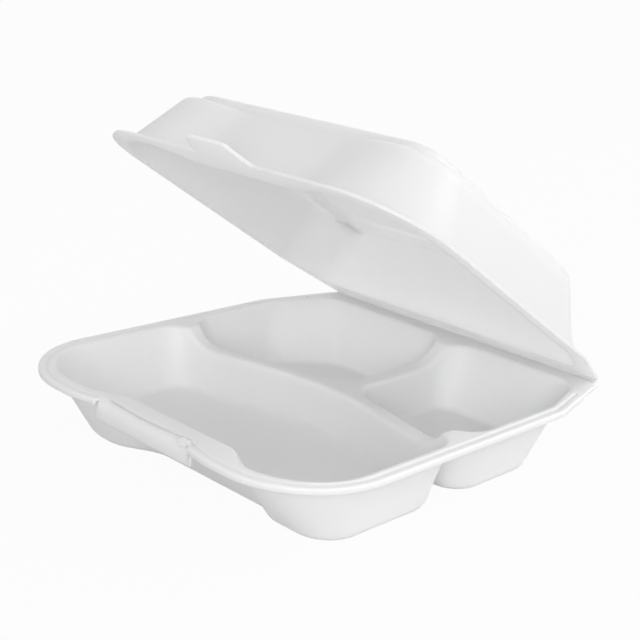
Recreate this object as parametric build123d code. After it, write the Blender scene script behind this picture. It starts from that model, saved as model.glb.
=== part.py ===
from build123d import *
import math
import os

# A hinged foam food container with three compartments, pressed from one foam sheet.
# Lengths are in millimetres and angles in degrees. Tray and lid are drawn closed, with the crease on
# the X axis, the front towards -Y and the top of the tray rim at z = 0, and are then put in place.

# Foam sheet
FOAM = 2.0
FLANGE = 1.6
SEAT_GAP = 0.4
CREASE_GAP = 0.4
OPEN_ANGLE = 32.3

# Tray rim
RIM_WIDTH = 210.0
RIM_DEPTH = 219.5
RIM_CORNER = 46.0
RIM_RECESS = 4.0
CREASE_WIDTH = 185.0
CREASE_ROUND = 3.0
HINGE_CORNER = 48.0
HINGE_ROUND = 30.0
LIP_DROP = 2.8
LIP_THICK = 1.8
LIP_START = 22.0
LIP_ROUND = 1.0
GROOVE_INSET = 4.0
GROOVE_WIDTH = 2.4
GROOVE_FLOOR = 0.8
GROOVE_DEPTH = 0.7

# Tray, inside at the rim
TRAY_DEPTH = 34.0
MOUTH_WIDTH = 195.0
MOUTH_FRONT = 211.0
MOUTH_BACK = 11.0
MOUTH_CORNER = 36.0
MOUTH_ROUND = 2.0
BACK_INSET = 10.0
BACK_TURN = 46.0
BACK_TURN_ROUND = 20.0
BACK_CORNER = 14.0

# Tray, inside at the floor
FLOOR_WIDTH = 175.6
FLOOR_FRONT = 185.5
FLOOR_FRONT_LEFT = 192.0
FLOOR_BACK = 26.0
FLOOR_CORNER = 15.0
FLOOR_CORNER_LEFT = 34.0
FLOOR_INSET = 25.0
FLOOR_TURN = 56.0
FLOOR_TURN_ROUND = 18.0
FLOOR_ROUND = 4.0

# Recess in the front wall: short of the middle of the left half and further out on the right
RECESS_DEPTH = 8.5
RECESS_FLOOR_DEPTH = 5.0
RECESS_RIGHT = 46.0
RECESS_RIGHT_STEP = 11.0
RECESS_RIGHT_ROUND = 10.0
RECESS_LEFT = 26.0
RECESS_LEFT_STEP = 20.0
RECESS_LEFT_ROUND = 24.0

# Dividers
CREST_DROP = 9.0
CREST_ROUND = 2.4
CROSS_BACK = 96.0
CROSS_BOW = 23.0
CROSS_THICK = 6.2
CROSS_DRAFT = 3.6
CROSS_ROUND = 150.0
SPLIT_X = 6.5
SPLIT_THICK = 8.0
SPLIT_DRAFT = 4.0
WALL_CORNER = 14.0
SADDLE_RUN = 18.0
SADDLE_END = 10.0
SADDLE_BACK_RUN = 22.0

# Lock in the front rim: a flange rolled down in front of a slit
LOCK_WIDTH = 66.0
ROLL_START = 209.5
ROLL_RADIUS = 6.0
ROLL_SKIRT = 3.5
SLIT_WIDTH = 1.0
SLIT_LENGTH = 55.0
SLIT_FRONT = 212.0
SLIT_BOW = 1.2

# Lid rim and tab
LID_RIM_WIDTH = 208.0
LID_RIM_FRONT = 207.0
LID_RIM_CORNER = 40.0
LID_CREASE_WIDTH = 183.0
LID_HINGE_CORNER = 42.0
LID_HINGE_ROUND = 25.0
LID_EDGE_ROUND = 0.6
TAB_ROOT_WIDTH = 38.0
TAB_TIP_WIDTH = 25.0
TAB_LENGTH = 14.0
TAB_RISE = 1.6
TAB_ROUND = 4.0
TAB_STRAIGHT = 2.0

# Lid, inside at the rim, the shoulder and the raised top
LID_MOUTH_WIDTH = 194.0
LID_MOUTH_FRONT = 200.0
LID_MOUTH_BACK = 14.0
LID_MOUTH_CORNER = 36.0
LID_RECESS = 33.0
LID_RECESS_STEP = 22.0
LID_RECESS_ROUND = 28.0
LID_RECESS_DEPTH = 8.5
SHOULDER_HEIGHT = 32.0
SHOULDER_WIDTH = 166.0
SHOULDER_FRONT = 181.0
SHOULDER_BACK = 32.0
SHOULDER_CORNER = 20.0
SHOULDER_INSET = 20.0
SHOULDER_BACK_ROUND = 14.0
SHOULDER_ROUND = 3.0
SHOULDER_RECESS = 5.0
TOP_HEIGHT = 37.2
TOP_WIDTH = 149.0
TOP_FRONT = 174.0
TOP_BACK = 34.0
TOP_CORNER = 12.0
TOP_DRAFT = 2.5
TOP_ROUND = 2.5

# How far a cutting form stands past the face that it cuts
CLEAR = 1.0


def outline(corners, grow, height):
    """Closed wire round the corners (x, y, radius), listed anticlockwise, moved outward by grow."""
    count = len(corners)
    points = [Vector(x, y) for x, y, _ in corners]
    moved = []
    radii = []
    for i in range(count):
        ahead = (points[(i + 1) % count] - points[i]).normalized()
        behind = (points[i] - points[i - 1]).normalized()
        normal_ahead = Vector(ahead.Y, -ahead.X)
        normal_behind = Vector(behind.Y, -behind.X)
        bisector = (normal_ahead + normal_behind) / (1 + normal_ahead.dot(normal_behind))
        moved.append(points[i] + bisector * grow)
        turns_left = behind.X * ahead.Y - behind.Y * ahead.X > 0
        radius = corners[i][2] + grow if turns_left else corners[i][2] - grow
        radii.append(max(radius, FLANGE / 2))
    wire = FilletPolyline(*moved, radius=radii, close=True).wire()
    return wire.moved(Location((0, 0, height)))


def mirrored(corners):
    """The same corners on the other side of the YZ plane, still anticlockwise."""
    return [(-x, y, radius) for x, y, radius in reversed(corners)]


def slab(corners, grow, low, high):
    """Straight-sided plate between two heights."""
    return extrude(make_face(outline(corners, grow, low)), amount=high - low)


def frustum(low_corners, low_grow, low, high_corners, high_grow, high):
    """Form with ruled sides between two outlines of the same kind."""
    sections = [outline(low_corners, low_grow, low), outline(high_corners, high_grow, high)]
    return Solid.make_loft(sections, ruled=True)


def level_edges(form, height):
    """The edges of a form that lie at one height."""
    margin = FOAM / 20
    return form.edges().filter_by_position(Axis.Z, height - margin, height + margin)


def slice_behind(form, y_front, y_back):
    """The part of a form between two depths."""
    span = y_back - y_front
    box = Box(2 * RIM_WIDTH, span, 4 * TRAY_DEPTH)
    return form & (Pos(0, y_front + span / 2, 0) * box)


def right_edge(half, front, corner, recess):
    """Right half of a front edge, from the end of the recess to the side."""
    return [
        (RECESS_RIGHT, -front + recess, RECESS_RIGHT_ROUND),
        (RECESS_RIGHT + RECESS_RIGHT_STEP, -front, RECESS_RIGHT_ROUND),
        (half, -front, corner),
    ]


def left_edge(half, front, corner, recess):
    """The same for the left half, drawn on the right."""
    return [
        (RECESS_LEFT, -front + recess, RECESS_LEFT_ROUND),
        (RECESS_LEFT + RECESS_LEFT_STEP, -front, RECESS_LEFT_ROUND),
        (half, -front, corner),
    ]


def front_pocket(grow):
    """The wide compartment, with the recess in its front wall and the bowed divider behind."""
    half = MOUTH_WIDTH / 2
    wall = [(half, -CROSS_BACK - CROSS_BOW, WALL_CORNER)]
    right = right_edge(half, MOUTH_FRONT, MOUTH_CORNER, RECESS_DEPTH) + wall
    left = left_edge(half, MOUTH_FRONT, MOUTH_CORNER, RECESS_DEPTH) + wall
    mouth = right + [(0, -CROSS_BACK, CROSS_ROUND)] + mirrored(left)
    half = FLOOR_WIDTH / 2
    wall = [(half, -CROSS_BACK - CROSS_BOW - CROSS_DRAFT, WALL_CORNER)]
    right = right_edge(half, FLOOR_FRONT, FLOOR_CORNER, RECESS_FLOOR_DEPTH) + wall
    recess = FLOOR_FRONT_LEFT - FLOOR_FRONT + RECESS_FLOOR_DEPTH
    left = left_edge(half, FLOOR_FRONT_LEFT, FLOOR_CORNER_LEFT, recess) + wall
    floor = right + [(0, -CROSS_BACK - CROSS_DRAFT, CROSS_ROUND)] + mirrored(left)
    return frustum(floor, grow, FOAM - TRAY_DEPTH - grow, mouth, grow, CLEAR)


def back_pocket(side, grow):
    """A back compartment: side is 1 for the right one and -1 for the left one."""
    half_mouth = MOUTH_WIDTH / 2
    half_floor = FLOOR_WIDTH / 2
    edge = side * SPLIT_X + SPLIT_THICK / 2
    slope = CROSS_BOW / half_mouth
    front = CROSS_BACK - CROSS_THICK
    floor_front = front - CROSS_DRAFT
    floor_edge = edge + SPLIT_DRAFT
    mouth = [
        (edge, -front - slope * edge, WALL_CORNER),
        (half_mouth, -front - slope * half_mouth, WALL_CORNER),
        (half_mouth, -BACK_TURN, BACK_TURN_ROUND),
        (half_mouth - BACK_INSET, -MOUTH_BACK, BACK_CORNER),
        (edge, -MOUTH_BACK, BACK_CORNER),
    ]
    floor = [
        (floor_edge, -floor_front - slope * floor_edge, WALL_CORNER),
        (half_floor, -floor_front - slope * half_floor, WALL_CORNER),
        (half_floor, -FLOOR_TURN, FLOOR_TURN_ROUND),
        (half_floor - FLOOR_INSET, -FLOOR_BACK, FLOOR_TURN_ROUND),
        (floor_edge, -FLOOR_BACK, BACK_CORNER),
    ]
    if side < 0:
        mouth = mirrored(mouth)
        floor = mirrored(floor)
    return frustum(floor, grow, FOAM - TRAY_DEPTH - grow, mouth, grow, CLEAR)


def rise(start, towards, run, drop, top):
    """An arc that leaves a level line at start, climbs drop over run, and a line on to the top."""
    radius = (run * run + drop * drop) / (2 * drop)
    turned = math.degrees(math.asin(run / radius))
    arc = JernArc(start, (towards, 0), radius, towards * turned)
    leave = arc % 1
    end = arc @ 1
    reach = (top - end.Y) / leave.Y
    Line(end, end + leave * reach)
    return end.X + leave.X * reach


def cross_saddle(grow):
    """Hollow over the bowed divider: level in the middle and rising to the rim at both sides."""
    half = MOUTH_WIDTH / 2 - SADDLE_END + grow
    level = -CREST_DROP - grow
    front = CROSS_BACK + CROSS_BOW + WALL_CORNER
    back = CROSS_BACK - CROSS_THICK - WALL_CORNER / 2
    with BuildSketch(Plane.XZ.offset(back)) as section:
        with BuildLine():
            Line((SADDLE_RUN - half, level), (half - SADDLE_RUN, level))
            right = rise((half - SADDLE_RUN, level), 1, SADDLE_RUN, CREST_DROP, CLEAR)
            left = rise((SADDLE_RUN - half, level), -1, SADDLE_RUN, CREST_DROP, CLEAR)
            Line((left, CLEAR), (right, CLEAR))
        make_face()
    return extrude(section.sketch, amount=front - back)


def split_saddle(grow):
    """Hollow over the short divider: level in front and rising to the rim at the back."""
    end = grow - MOUTH_BACK - SADDLE_END
    level = -CREST_DROP - grow
    reach = SPLIT_THICK / 2 + WALL_CORNER
    with BuildSketch(Plane.YZ.offset(SPLIT_X - reach)) as section:
        with BuildLine():
            Line((-CROSS_BACK, level), (end - SADDLE_BACK_RUN, level))
            back = rise((end - SADDLE_BACK_RUN, level), 1, SADDLE_BACK_RUN, CREST_DROP, CLEAR)
            Line((back, CLEAR), (-CROSS_BACK, CLEAR))
            Line((-CROSS_BACK, CLEAR), (-CROSS_BACK, level))
        make_face()
    return extrude(section.sketch, amount=2 * reach)


def tray_form(grow):
    """Everything inside the tray's sheet, moved outward by grow."""
    form = cross_saddle(grow) + split_saddle(grow)
    for pocket in (front_pocket(grow), back_pocket(1, grow), back_pocket(-1, grow)):
        floor_edges = level_edges(pocket, FOAM - TRAY_DEPTH - grow)
        form += pocket.fillet(FLOOR_ROUND + grow, floor_edges)
    return form


def crest_edges(form):
    """The edges where the saddles over the dividers meet the compartments."""
    edges = form.edges().filter_by_position(Axis.Z, -CREST_DROP - CLEAR, CLEAR / 2)
    seams = edges.filter_by(Axis.X) + edges.filter_by(Axis.Y)
    return [edge for edge in edges if edge not in seams]


def mouth_edges(whole):
    """The edges at rim height between the level rim and the walls and saddles inside it."""
    inset = GROOVE_INSET + GROOVE_WIDTH / 2 + MOUTH_ROUND / 2
    front = left_edge(RIM_WIDTH / 2, RIM_DEPTH, RIM_CORNER, RIM_RECESS)
    zone = slab(rim_corners(CREASE_WIDTH, HINGE_CORNER, HINGE_ROUND, front), -inset, -CLEAR, CLEAR)
    zone -= lock_box(-2 * CLEAR, 2 * CLEAR, CLEAR)
    return [edge for edge in level_edges(whole, 0) if zone.is_inside(edge @ 0.5)]


def rim_corners(crease, hinge_corner, hinge_round, front):
    """Outline of a rim: front is its front edge, and behind the hinge corners it narrows towards the crease."""
    half = front[-1][0]
    right = front + [(half, -hinge_corner, hinge_round), (crease / 2, -CREASE_GAP, CREASE_ROUND)]
    return right + mirrored(right)


def lock_box(low, high, margin=0):
    """The stretch of the front rim that is rolled down, and a margin beside and behind it."""
    reach = RIM_DEPTH + CLEAR - ROLL_START + margin
    box = Box(LOCK_WIDTH + 2 * margin, reach, high - low)
    return Pos(0, margin - ROLL_START - reach / 2, (low + high) / 2) * box


def curved_sheet(start, radius, turned, straight, width):
    """Sheet that bends from level at start, up for a negative turn, and runs on straight."""
    inner = radius + FLANGE if turned < 0 else radius - FLANGE
    with BuildSketch(Plane.YZ.offset(-width / 2)) as section:
        with BuildLine():
            upper = JernArc(start, (-1, 0), radius, turned)
            lower = JernArc((start[0], start[1] - FLANGE), (-1, 0), inner, turned)
            upper_end = Line(upper @ 1, upper @ 1 + (upper % 1) * straight) @ 1
            lower_end = Line(lower @ 1, lower @ 1 + (lower % 1) * straight) @ 1
            Line(upper @ 0, lower @ 0)
            Line(upper_end, lower_end)
        make_face()
    return extrude(section.sketch, amount=width)


def tray_rim():
    """Flat flange with a lip turned down along its edge and a rolled lock flange in front."""
    front = left_edge(RIM_WIDTH / 2, RIM_DEPTH, RIM_CORNER, RIM_RECESS)
    corners = rim_corners(CREASE_WIDTH, HINGE_CORNER, HINGE_ROUND, front)
    flange = slab(corners, 0, -FLANGE, 0)
    top_edges = level_edges(flange, 0).filter_by_position(Axis.Y, -RIM_DEPTH - CLEAR, -CLEAR)
    flange = flange.fillet(LIP_ROUND, top_edges)
    lip = slab(corners, 0, -LIP_DROP, -LIP_ROUND) - slab(corners, -LIP_THICK, -LIP_DROP, 0)
    flange += slice_behind(lip, -RIM_DEPTH, -LIP_START)
    groove_outside = frustum(
        corners, -GROOVE_INSET + GROOVE_FLOOR / 2, -GROOVE_DEPTH, corners, -GROOVE_INSET + GROOVE_WIDTH / 2, 0
    )
    groove_inside = frustum(
        corners, -GROOVE_INSET - GROOVE_FLOOR / 2, -GROOVE_DEPTH, corners, -GROOVE_INSET - GROOVE_WIDTH / 2, 0
    )
    flange -= slice_behind(groove_outside - groove_inside, -RIM_DEPTH, -LIP_START) - lock_box(-FLANGE, FLANGE)
    flange -= lock_box(-LIP_DROP, CLEAR)
    return flange + curved_sheet((-ROLL_START, 0), ROLL_RADIUS, 90, ROLL_SKIRT, LOCK_WIDTH)


def lock_slit():
    """The curved slit behind the rolled flange that takes the tab of the lid."""
    half = SLIT_LENGTH / 2
    ends = SLIT_FRONT - SLIT_BOW
    line = ThreePointArc((-half, -ends), (0, -SLIT_FRONT), (half, -ends))
    slot = SlotArc(line, SLIT_WIDTH)
    return Pos(0, 0, -ROLL_RADIUS) * extrude(slot, amount=ROLL_RADIUS + CLEAR)


def tray():
    """The lower half, with its rim top at z = 0."""
    inside = tray_form(0).solid()
    inside = inside.fillet(CREST_ROUND, crest_edges(inside))
    skin = tray_form(FOAM)
    box = Box(2 * RIM_WIDTH, 2 * RIM_DEPTH, 2 * TRAY_DEPTH)
    skin &= Pos(0, -RIM_DEPTH / 2, -TRAY_DEPTH - FLANGE / 2) * box
    whole = tray_rim() + skin - inside
    return whole.fillet(MOUTH_ROUND, mouth_edges(whole)) - lock_slit()


def lid_edge(half, front, corner, recess):
    """Right half of a front edge of the lid, from the end of its recess to the side."""
    return [
        (LID_RECESS, -front + recess, LID_RECESS_ROUND),
        (LID_RECESS + LID_RECESS_STEP, -front, LID_RECESS_ROUND),
        (half, -front, corner),
    ]


def lid_form(grow):
    """Everything inside the lid's sheet, moved outward by grow."""
    half = LID_MOUTH_WIDTH / 2
    mouth = lid_edge(half, LID_MOUTH_FRONT, LID_MOUTH_CORNER, LID_RECESS_DEPTH)
    mouth.append((half, -BACK_TURN, BACK_TURN_ROUND))
    mouth.append((half - BACK_INSET, -LID_MOUTH_BACK, BACK_CORNER))
    half = SHOULDER_WIDTH / 2
    shoulder = lid_edge(half, SHOULDER_FRONT, SHOULDER_CORNER, SHOULDER_RECESS)
    shoulder.append((half, -SHOULDER_BACK - SHOULDER_INSET, SHOULDER_BACK_ROUND))
    shoulder.append((half - SHOULDER_INSET, -SHOULDER_BACK, SHOULDER_BACK_ROUND))
    mouth += mirrored(mouth)
    shoulder += mirrored(shoulder)
    level = SEAT_GAP + SHOULDER_HEIGHT + grow
    form = frustum(mouth, grow, SEAT_GAP - CLEAR, shoulder, grow, level)
    form = form.fillet(SHOULDER_ROUND + grow, level_edges(form, level))
    half = TOP_WIDTH / 2
    top = [(half, -TOP_FRONT, TOP_CORNER), (half, -TOP_BACK, TOP_CORNER)]
    top += mirrored(top)
    top_level = SEAT_GAP + TOP_HEIGHT + grow
    raised = frustum(top, TOP_DRAFT + grow, level - TOP_ROUND, top, grow, top_level)
    return form + raised.fillet(TOP_ROUND + grow, level_edges(raised, top_level))


def lid_tab():
    """The locking tab in front of the lid's rim, bent up a little towards its tip."""
    root = TAB_ROOT_WIDTH / 2
    tip = TAB_TIP_WIDTH / 2
    start = LID_RIM_FRONT - 2 * FLANGE
    right = [
        (tip, -LID_RIM_FRONT - TAB_LENGTH, TAB_ROUND),
        (root, -start, FLANGE / 2),
    ]
    shape = slab(right + mirrored(right), 0, 0, TRAY_DEPTH)
    run = LID_RIM_FRONT + TAB_LENGTH - start
    radius = (run * run + TAB_RISE * TAB_RISE) / (2 * TAB_RISE)
    turned = math.degrees(math.asin(run / radius))
    sheet = curved_sheet(
        (-start, SEAT_GAP + FLANGE), radius, -turned, TAB_STRAIGHT, 2 * TAB_ROOT_WIDTH
    )
    return sheet & shape


def lid():
    """The upper half, closed on the tray."""
    front = [(LID_RIM_WIDTH / 2, -LID_RIM_FRONT, LID_RIM_CORNER)]
    corners = rim_corners(LID_CREASE_WIDTH, LID_HINGE_CORNER, LID_HINGE_ROUND, front)
    flange = slab(corners, 0, SEAT_GAP, SEAT_GAP + FLANGE)
    edges = level_edges(flange, SEAT_GAP + FLANGE).filter_by_position(Axis.Y, -RIM_DEPTH, -CLEAR)
    flange = flange.fillet(LID_EDGE_ROUND, edges)
    skin = lid_form(FOAM)
    box = Box(2 * RIM_WIDTH, 2 * RIM_DEPTH, 2 * TRAY_DEPTH)
    skin &= Pos(0, -RIM_DEPTH / 2, SEAT_GAP + FLANGE / 2 + TRAY_DEPTH) * box
    return flange + lid_tab() + skin - lid_form(0)


place = Pos(0, RIM_DEPTH / 2, TRAY_DEPTH)
crease = Axis((0, 0, SEAT_GAP / 2), (1, 0, 0))

tray_part = place * tray()
lid_part = place * lid().rotate(crease, -OPEN_ANGLE)

os.makedirs("parts", exist_ok=True)
export_step(tray_part, "parts/tray.step")
export_step(lid_part, "parts/lid.step")
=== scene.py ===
import math

import bmesh
import bpy
from mathutils import Matrix, Vector, noise


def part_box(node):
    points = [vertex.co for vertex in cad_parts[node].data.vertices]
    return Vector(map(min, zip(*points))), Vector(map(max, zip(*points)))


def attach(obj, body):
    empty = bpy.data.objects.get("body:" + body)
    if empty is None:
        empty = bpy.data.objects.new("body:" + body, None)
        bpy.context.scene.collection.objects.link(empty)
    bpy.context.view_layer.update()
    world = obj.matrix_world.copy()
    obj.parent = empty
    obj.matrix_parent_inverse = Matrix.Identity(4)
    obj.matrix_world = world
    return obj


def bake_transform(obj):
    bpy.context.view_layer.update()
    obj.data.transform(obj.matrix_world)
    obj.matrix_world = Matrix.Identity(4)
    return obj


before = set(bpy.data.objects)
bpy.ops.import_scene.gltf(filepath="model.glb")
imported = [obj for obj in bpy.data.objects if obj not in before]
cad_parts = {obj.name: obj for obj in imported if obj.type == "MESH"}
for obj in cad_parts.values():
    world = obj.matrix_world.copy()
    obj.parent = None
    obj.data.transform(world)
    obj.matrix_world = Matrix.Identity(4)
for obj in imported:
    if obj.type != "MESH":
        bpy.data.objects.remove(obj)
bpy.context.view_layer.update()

# The crease line and the rim height, from the CAD tray itself
tray_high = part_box("tray")[1]
CREASE_GAP = 0.0004
CREASE_Y = tray_high.y + CREASE_GAP
RIM_Z = tray_high.z
PIVOT_Z = RIM_Z + CREASE_GAP / 2
OPEN = math.radians(32.3)
MM = 0.001


def node(tree, kind, **values):
    made = tree.nodes.new(kind)
    for name, value in values.items():
        setattr(made, name, value)
    return made


def set_inputs(made, **values):
    for name, value in values.items():
        made.inputs[name.replace("_", " ")].default_value = value
    return made


def finish_mesh(bm, name, smooth, skin):
    """Make the object from its mesh and give it its skin."""
    bmesh.ops.recalc_face_normals(bm, faces=bm.faces)
    mesh = bpy.data.meshes.new(name)
    bm.to_mesh(mesh)
    bm.free()
    for face in mesh.polygons:
        face.use_smooth = smooth
    obj = bpy.data.objects.new(name, mesh)
    bpy.context.scene.collection.objects.link(obj)
    mesh.materials.append(skin)
    return obj


def skin_rows(bm, rows):
    """Join rings of vertices into a closed bar."""
    for a, b in zip(rows, rows[1:]):
        for k in range(len(a)):
            n = (k + 1) % len(a)
            bm.faces.new((a[k], a[n], b[n], b[k]))
    bm.faces.new(rows[0])
    bm.faces.new(list(reversed(rows[-1])))


# Foam skin

BEAD_SCALE, GRAIN_SCALE, DRIFT_SCALE, DIMPLE_SCALE = 900.0, 520.0, 22.0, 75.0
SPECULAR = 0.42


def foam_material(name, tint, shade, depth):
    """Pressed foam sheet: a satin skin over fine beads, soft dimples and slow changes in tone.

    depth is how far light travels inside the sheet, in metres.
    """
    mat = bpy.data.materials.new(name)
    mat.use_nodes = True
    tree = mat.node_tree
    link = tree.links.new
    shader = tree.nodes["Principled BSDF"]
    coord = node(tree, "ShaderNodeTexCoord")
    place = coord.outputs["Object"]

    beads = set_inputs(
        node(tree, "ShaderNodeTexVoronoi", feature="SMOOTH_F1"), Scale=BEAD_SCALE, Smoothness=0.7
    )
    grain = set_inputs(
        node(tree, "ShaderNodeTexNoise"), Scale=GRAIN_SCALE, Detail=5.0, Roughness=0.6
    )
    drift = set_inputs(
        node(tree, "ShaderNodeTexNoise"), Scale=DRIFT_SCALE, Detail=4.0, Roughness=0.55
    )
    dimples = set_inputs(node(tree, "ShaderNodeTexNoise"), Scale=DIMPLE_SCALE, Detail=2.0)
    for texture in (beads, grain, drift, dimples):
        link(place, texture.inputs["Vector"])

    # Tone: slow drift, and the joints between the beads a little darker
    tone = node(tree, "ShaderNodeMix", data_type="RGBA")
    tone.inputs["A"].default_value = (*shade, 1)
    tone.inputs["B"].default_value = (*tint, 1)
    wave = set_inputs(node(tree, "ShaderNodeMapRange"), From_Min=0.35, From_Max=0.65)
    link(drift.outputs["Fac"], wave.inputs["Value"])
    link(wave.outputs["Result"], tone.inputs["Factor"])
    joints = set_inputs(
        node(tree, "ShaderNodeMapRange"), From_Min=0.25, From_Max=0.75, To_Min=1.0, To_Max=0.985
    )
    link(beads.outputs["Distance"], joints.inputs["Value"])
    scaled = node(tree, "ShaderNodeVectorMath", operation="SCALE")
    link(tone.outputs["Result"], scaled.inputs[0])
    link(joints.outputs["Result"], scaled.inputs["Scale"])
    link(scaled.outputs["Vector"], shader.inputs["Base Color"])

    # Sheen: satin, with rougher patches
    rough = set_inputs(node(tree, "ShaderNodeMapRange"), To_Min=0.36, To_Max=0.56)
    link(grain.outputs["Fac"], rough.inputs["Value"])
    link(rough.outputs["Result"], shader.inputs["Roughness"])

    # Relief: beads, grain and wide shallow dimples
    normal = None
    for texture, output, strength, distance in (
        (dimples, "Fac", 0.22, 0.0006),
        (grain, "Fac", 0.16, 0.0002),
        (beads, "Distance", 0.10, 0.00015),
    ):
        bump = set_inputs(node(tree, "ShaderNodeBump"), Strength=strength, Distance=distance)
        link(texture.outputs[output], bump.inputs["Height"])
        if normal:
            link(normal, bump.inputs["Normal"])
        normal = bump.outputs["Normal"]
    link(normal, shader.inputs["Normal"])
    shader.inputs["Specular IOR Level"].default_value = SPECULAR
    shader.inputs["Subsurface Weight"].default_value = 1.0
    shader.inputs["Subsurface Scale"].default_value = depth
    shader.inputs["Subsurface Radius"].default_value = (1.0, 1.0, 1.0)
    return mat


TINT = (0.98, 0.98, 0.982)
SHADE = (0.964, 0.966, 0.97)
TORN_TINT = (0.995, 0.995, 0.995)
TORN_SHADE = (0.985, 0.985, 0.986)
foam = foam_material("foam_skin", TINT, SHADE, 0.0026)
torn_foam = foam_material("torn_foam_skin", TORN_TINT, TORN_SHADE, 0.0006)
lid_foam = foam_material("lid_foam_skin", TINT, SHADE, 0.010)
for name, skin in (("tray", foam), ("lid", lid_foam)):
    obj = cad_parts[name]
    obj.data.materials.clear()
    obj.data.materials.append(skin)


# The pressed crease: a thin web that joins tray and lid and bends between them

WEB_HALF = 0.0905
WEB_STEPS = 120
WEB_REACH = 0.0016


def lid_point(reach, height):
    """A point beside the crease that moves with the lid: reach along it, height above its line."""
    return (
        CREASE_Y - reach * math.cos(OPEN) + height * math.sin(OPEN),
        PIVOT_Z + reach * math.sin(OPEN) + height * math.cos(OPEN),
    )


def crease_web():
    inner = [
        (CREASE_Y - WEB_REACH, RIM_Z + 0.00003),
        (CREASE_Y - 0.0007, RIM_Z + 0.00005),
        (CREASE_Y - 0.00030, PIVOT_Z),
        lid_point(0.0007, 0.00015),
        lid_point(WEB_REACH, 0.00017),
    ]
    outer = [
        lid_point(WEB_REACH, 0.0012),
        lid_point(0.0005, 0.0012),
        lid_point(0.0, 0.0007),
        (CREASE_Y + 0.00033, PIVOT_Z),
        (CREASE_Y, RIM_Z - 0.0008),
        (CREASE_Y - 0.0005, RIM_Z - 0.0012),
        (CREASE_Y - WEB_REACH, RIM_Z - 0.0012),
    ]
    bm = bmesh.new()
    rows = []
    for i in range(WEB_STEPS + 1):
        x = -WEB_HALF + 2 * WEB_HALF * i / WEB_STEPS
        rows.append([bm.verts.new((x, y, z)) for y, z in inner + outer])
    skin_rows(bm, rows)
    return finish_mesh(bm, "crease_web", True, foam)


web = crease_web()
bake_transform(web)


# Wear at the lock: torn flakes at the slit's right end and ragged ends of the rolled tongue

ROLL_START = 0.2095
ROLL_RADIUS = 0.006
ROLL_ARC = ROLL_RADIUS * math.pi / 2
ROLL_SKIRT = 0.0035
LOCK_HALF = 0.033
END_INSIDE = 0.0006
END_START = 0.0052
END_MARGIN = 0.0001
END_STEPS = 44
CROWN = Vector((0, 0, 0.00015))


def roll_point(x, run, sink):
    """A point on the rolled tongue: run is the way down from its start, sink the depth in it."""
    radius = ROLL_RADIUS - sink
    turn = min(run / ROLL_RADIUS, math.pi / 2)
    down = max(run - ROLL_ARC, 0)
    reach = ROLL_START + radius * math.sin(turn)
    return Vector((x, CREASE_Y - reach, RIM_Z - ROLL_RADIUS + radius * math.cos(turn) - down))


def middle(verts):
    return sum((v.co for v in verts), Vector()) / len(verts)


def flake(name, outline, thick):
    """A torn chip: a jagged plate on the roll, each corner given as x, run and lift in mm."""
    bm = bmesh.new()
    top = [bm.verts.new(roll_point(x * MM, run * MM, -lift * MM)) for x, run, lift in outline]
    low = [
        bm.verts.new(roll_point(x * MM, run * MM, (thick - lift) * MM)) for x, run, lift in outline
    ]
    crown = bm.verts.new(middle(top) + CROWN)
    base = bm.verts.new(middle(low))
    for k in range(len(top)):
        n = (k + 1) % len(top)
        bm.faces.new((top[k], top[n], crown))
        bm.faces.new((low[n], low[k], base))
        bm.faces.new((top[n], top[k], low[k], low[n]))
    obj = finish_mesh(bm, name, False, torn_foam)
    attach(obj, "tray")


def torn_end(name, side, seed):
    """The ragged end of the tongue below the lip."""
    bm = bmesh.new()
    last = ROLL_ARC + ROLL_SKIRT - END_MARGIN
    rows = []
    for i in range(END_STEPS + 1):
        run = END_START + (last - END_START) * i / END_STEPS
        jag = 0.00055 + 0.0005 * noise.noise(Vector((seed, 900 * run, 0)))
        jag += 0.00035 * noise.noise(Vector((seed, 2600 * run, 4)))
        sway = 0.00012 * noise.noise(Vector((seed, 1500 * run, 8)))
        ring = (
            (-END_INSIDE, 0.00022),
            (jag * 0.6, 0.0003 + sway),
            (jag, 0.0008 + sway),
            (jag * 0.5, 0.0014),
            (-END_INSIDE, 0.0016),
        )
        rows.append(
            [bm.verts.new(roll_point(side * (LOCK_HALF + out), run, sink)) for out, sink in ring]
        )
    skin_rows(bm, rows)
    obj = finish_mesh(bm, name, False, torn_foam)
    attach(obj, "tray")


flake("torn_flake_front", (
    (21.8, 3.6, 0.1), (23.6, 2.6, 0.5), (25.6, 2.1, 0.9), (27.2, 2.6, 0.7), (29.2, 2.4, 1.1),
    (31.2, 3.2, 0.9), (32.6, 4.4, 0.5), (31.0, 4.9, 0.3), (30.0, 4.4, 0.7), (28.6, 6.2, 0.3),
    (27.0, 5.0, 0.6), (25.2, 6.6, 0.1), (24.4, 4.9, 0.4), (23.0, 5.2, 0.1),
), 1.0)
flake("torn_flake_back", (
    (29.0, 1.0, 0.05), (30.2, 0.7, 0.6), (32.0, 1.2, 0.8), (33.4, 2.6, 0.4), (32.0, 2.8, 0.2),
    (30.4, 1.8, 0.45),
), 0.8)
flake("torn_flake_edge", (
    (30.6, 5.2, 0.1), (32.0, 4.6, 0.5), (33.1, 5.6, 0.6), (32.9, 8.3, 0.35), (32.0, 10.4, 0.1),
    (31.7, 7.2, 0.3),
), 0.8)
torn_end("torn_end_left", -1, 3.0)
torn_end("torn_end_right", 1, 11.0)


# Floor: white to the camera, with the object's soft shadow left on it

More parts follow.
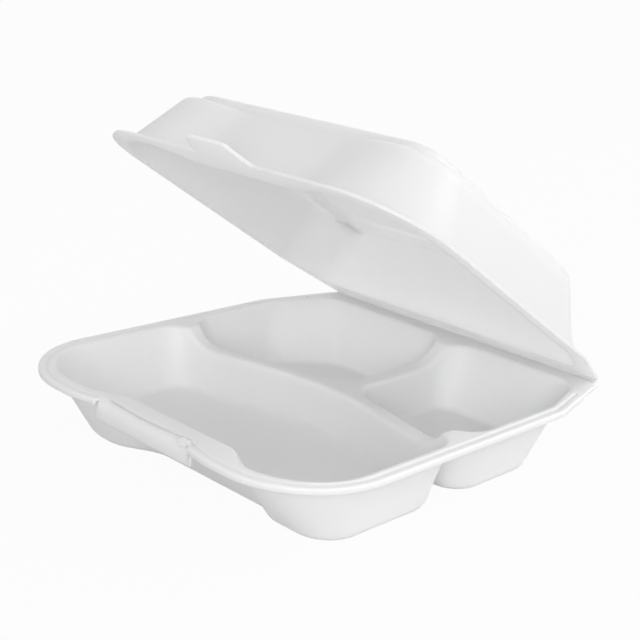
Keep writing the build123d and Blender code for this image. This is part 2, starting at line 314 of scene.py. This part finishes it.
def seen(tree):
    """1 for camera, glossy and transmitted rays."""
    path = node(tree, "ShaderNodeLightPath")
    first = node(tree, "ShaderNodeMath", operation="MAXIMUM")
    second = node(tree, "ShaderNodeMath", operation="MAXIMUM")
    tree.links.new(path.outputs["Is Camera Ray"], first.inputs[0])
    tree.links.new(path.outputs["Is Glossy Ray"], first.inputs[1])
    tree.links.new(first.outputs[0], second.inputs[0])
    tree.links.new(path.outputs["Is Transmission Ray"], second.inputs[1])
    return second.outputs[0]


FLOOR_HALF = 20.0
FLOOR_Z = -0.0001
FLOOR_GREY = 0.66
GLOW_SHARE = 0.95

bm = bmesh.new()
corners = ((-1, -1), (1, -1), (1, 1), (-1, 1))
bm.faces.new([bm.verts.new((x * FLOOR_HALF, y * FLOOR_HALF, FLOOR_Z)) for x, y in corners])
mesh = bpy.data.meshes.new("floor")
bm.to_mesh(mesh)
bm.free()
floor = bpy.data.objects.new("floor", mesh)
bpy.context.scene.collection.objects.link(floor)
paint = bpy.data.materials.new("floor_paint")
paint.use_nodes = True
tree = paint.node_tree
tree.nodes.clear()
out = node(tree, "ShaderNodeOutputMaterial")
matt = set_inputs(
    node(tree, "ShaderNodeBsdfDiffuse"), Color=(FLOOR_GREY, FLOOR_GREY, FLOOR_GREY, 1)
)
glow = set_inputs(node(tree, "ShaderNodeEmission"), Color=(1, 1, 1, 1), Strength=1.0)
mix = node(tree, "ShaderNodeMixShader")
share = node(tree, "ShaderNodeMath", operation="MULTIPLY")
share.inputs[1].default_value = GLOW_SHARE
tree.links.new(seen(tree), share.inputs[0])
tree.links.new(share.outputs[0], mix.inputs["Fac"])
tree.links.new(matt.outputs[0], mix.inputs[1])
tree.links.new(glow.outputs[0], mix.inputs[2])
tree.links.new(mix.outputs[0], out.inputs["Surface"])
floor.data.materials.append(paint)

# World: soft light all round, stronger from behind and the right, and white to the camera
BRIGHT_SIDE = Vector((0.5, 0.8, 0.2)).normalized()
WORLD_DIM, WORLD_BRIGHT = 0.32, 0.95

world = bpy.data.worlds.new("studio")
bpy.context.scene.world = world
world.use_nodes = True
tree = world.node_tree
tree.nodes.clear()
out = node(tree, "ShaderNodeOutputWorld")
soft = set_inputs(node(tree, "ShaderNodeBackground"), Color=(1, 1, 1, 1))
coord = node(tree, "ShaderNodeTexCoord")
facing = node(tree, "ShaderNodeVectorMath", operation="DOT_PRODUCT")
facing.inputs[1].default_value = BRIGHT_SIDE
level = set_inputs(
    node(tree, "ShaderNodeMapRange"),
    From_Min=-1.0,
    From_Max=1.0,
    To_Min=WORLD_DIM,
    To_Max=WORLD_BRIGHT,
)
tree.links.new(coord.outputs["Generated"], facing.inputs[0])
tree.links.new(facing.outputs["Value"], level.inputs["Value"])
tree.links.new(level.outputs["Result"], soft.inputs["Strength"])
white = set_inputs(node(tree, "ShaderNodeBackground"), Color=(1, 1, 1, 1), Strength=1.0)
mix = node(tree, "ShaderNodeMixShader")
tree.links.new(seen(tree), mix.inputs["Fac"])
tree.links.new(soft.outputs[0], mix.inputs[1])
tree.links.new(white.outputs[0], mix.inputs[2])
tree.links.new(mix.outputs[0], out.inputs["Surface"])


def area(name, place, aim, size, power):
    data = bpy.data.lights.new(name, "AREA")
    data.shape = "SQUARE"
    data.size = size
    data.energy = power
    lamp = bpy.data.objects.new(name, data)
    bpy.context.scene.collection.objects.link(lamp)
    lamp.location = place
    lamp.rotation_euler = (Vector(aim) - Vector(place)).to_track_quat("-Z", "Y").to_euler()


area("key", (0.9, -1.08, 0.50), (0, 0, 0.05), 0.9, 8.4)
area("side", (0.80, 1.22, 0.74), (0, 0, 0.08), 0.8, 5.8)

# Camera, fitted to the photo: azimuth, elevation, roll, distance and focal length in pixels
AZ, EL, ROLL = math.radians(43.86), math.radians(17.75), math.radians(4.03)
DIST = 0.64604
FOCAL_PX, FRAME_PX, SENSOR = 1303, 640, 36
target = Vector((-0.01068, CREASE_Y - 0.09702, RIM_Z + 0.02193))
back = Vector((math.sin(AZ) * math.cos(EL), -math.cos(AZ) * math.cos(EL), math.sin(EL)))
right = (-back).cross(Vector((0, 0, 1))).normalized()
up = right.cross(-back)
turned_right = math.cos(ROLL) * right + math.sin(ROLL) * up
turned_up = -math.sin(ROLL) * right + math.cos(ROLL) * up
data = bpy.data.cameras.new("camera")
data.sensor_width = SENSOR
data.lens = SENSOR * FOCAL_PX / FRAME_PX
data.clip_start = 0.01
camera = bpy.data.objects.new("camera", data)
bpy.context.scene.collection.objects.link(camera)
rows = Matrix((turned_right, turned_up, back)).transposed()
camera.matrix_world = Matrix.Translation(target + back * DIST) @ rows.to_4x4()
bpy.context.scene.camera = camera
bpy.context.scene.view_settings.view_transform = "Standard"
